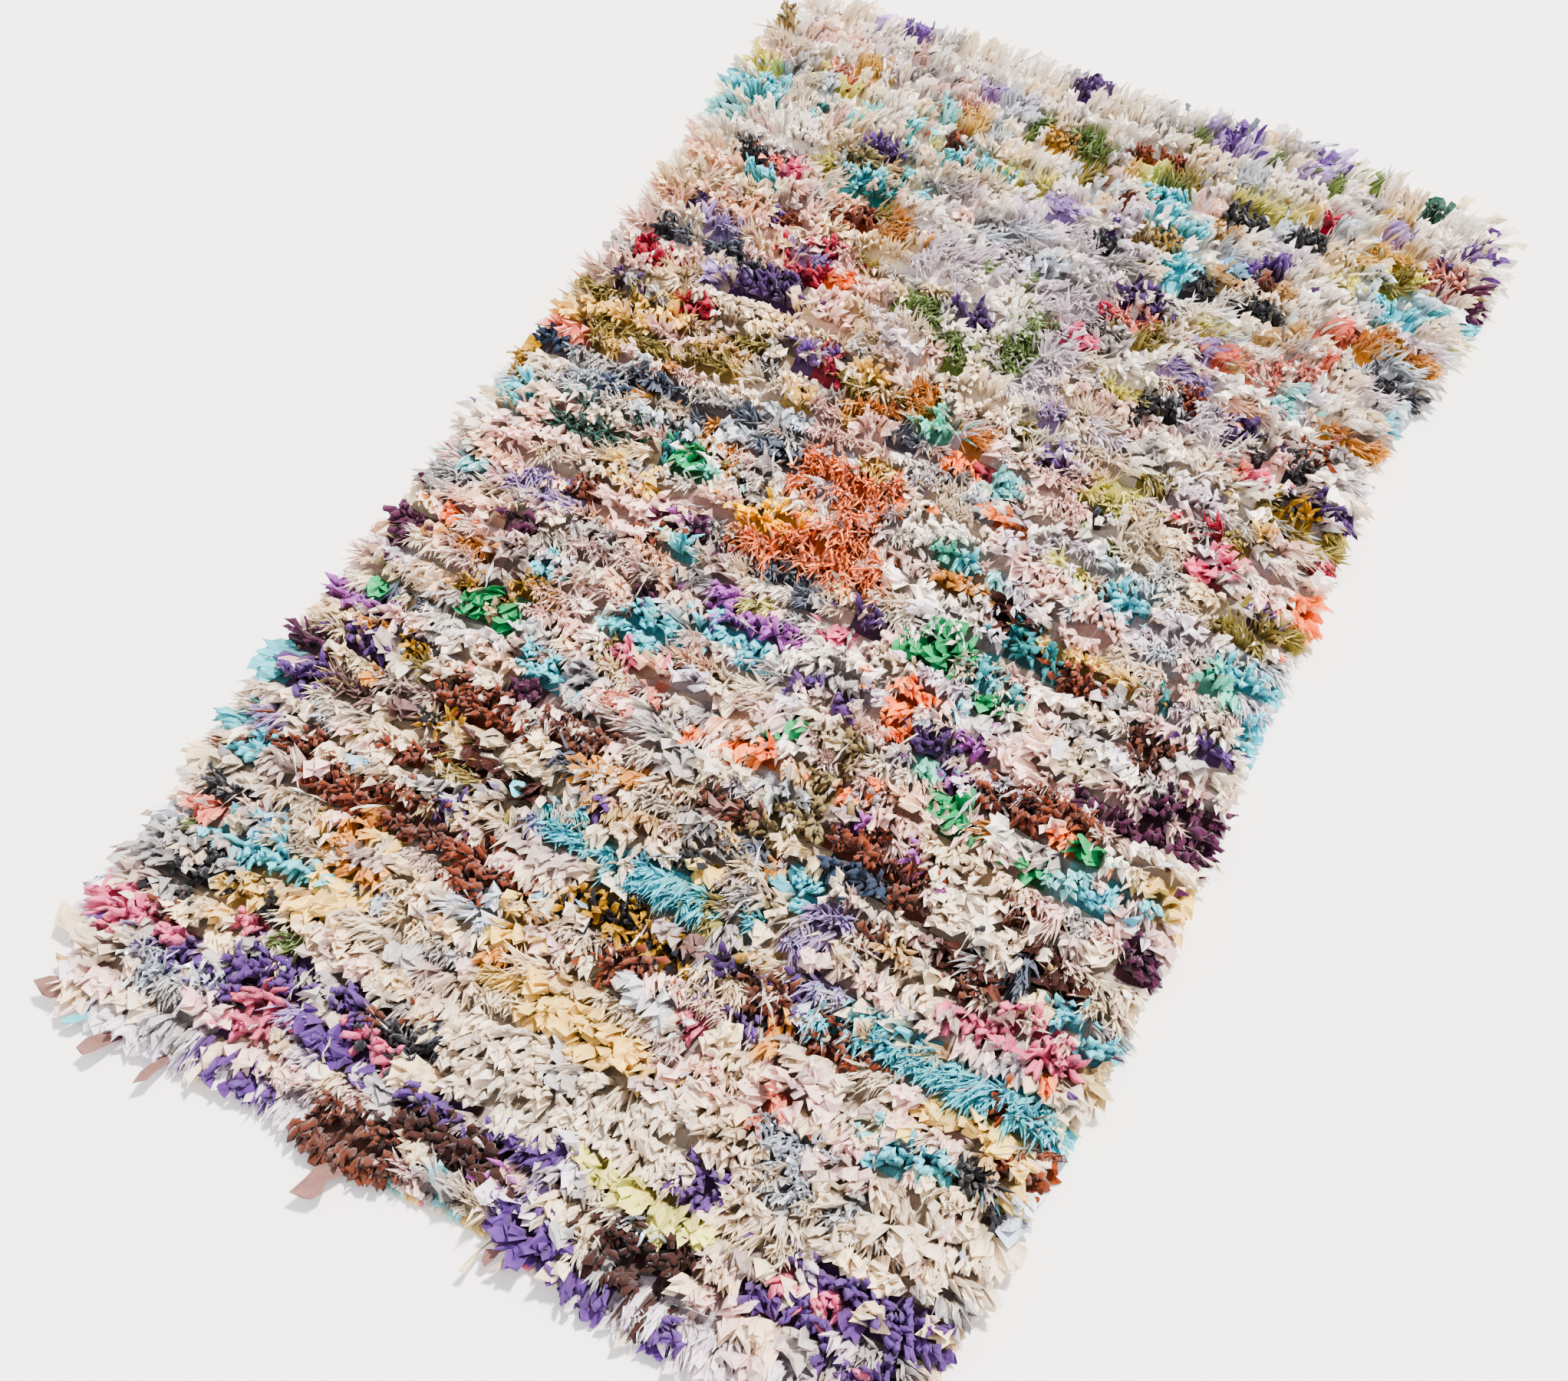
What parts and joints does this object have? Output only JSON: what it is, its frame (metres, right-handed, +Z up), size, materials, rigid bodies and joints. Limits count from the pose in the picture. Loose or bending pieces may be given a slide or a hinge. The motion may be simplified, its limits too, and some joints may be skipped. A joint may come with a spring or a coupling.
{
  "type": "boucherouite rug",
  "caption": "Thick shag rug of knotted rag strips on a woven ground, lying flat, with ragged locks along its four finished edges.",
  "frame": {"origin": "middle of the rug's outline box, on the floor under it", "axes": "+X across the rug to the right along its near end, +Y along its length to the far end, +Z up out of the pile"},
  "size_m": [1.226, 1.9404, 0.0598],
  "materials": {
    "ground_weave": "matt plain weave of cotton and wool",
    "rag_pile": "matt torn rags of cotton, jersey and wool in many colours",
    "end_finish": "matt rag, overcast with thread",
    "selvedge": "matt rag, wrapped over the side cords"
  },
  "bodies": {
    "root": {"ground_weave": "ground_weave", "pile": "rag_pile", "end_finish_near": "end_finish", "end_finish_far": "end_finish", "selvedge_left": "selvedge", "selvedge_right": "selvedge"}
  },
  "joints": []
}
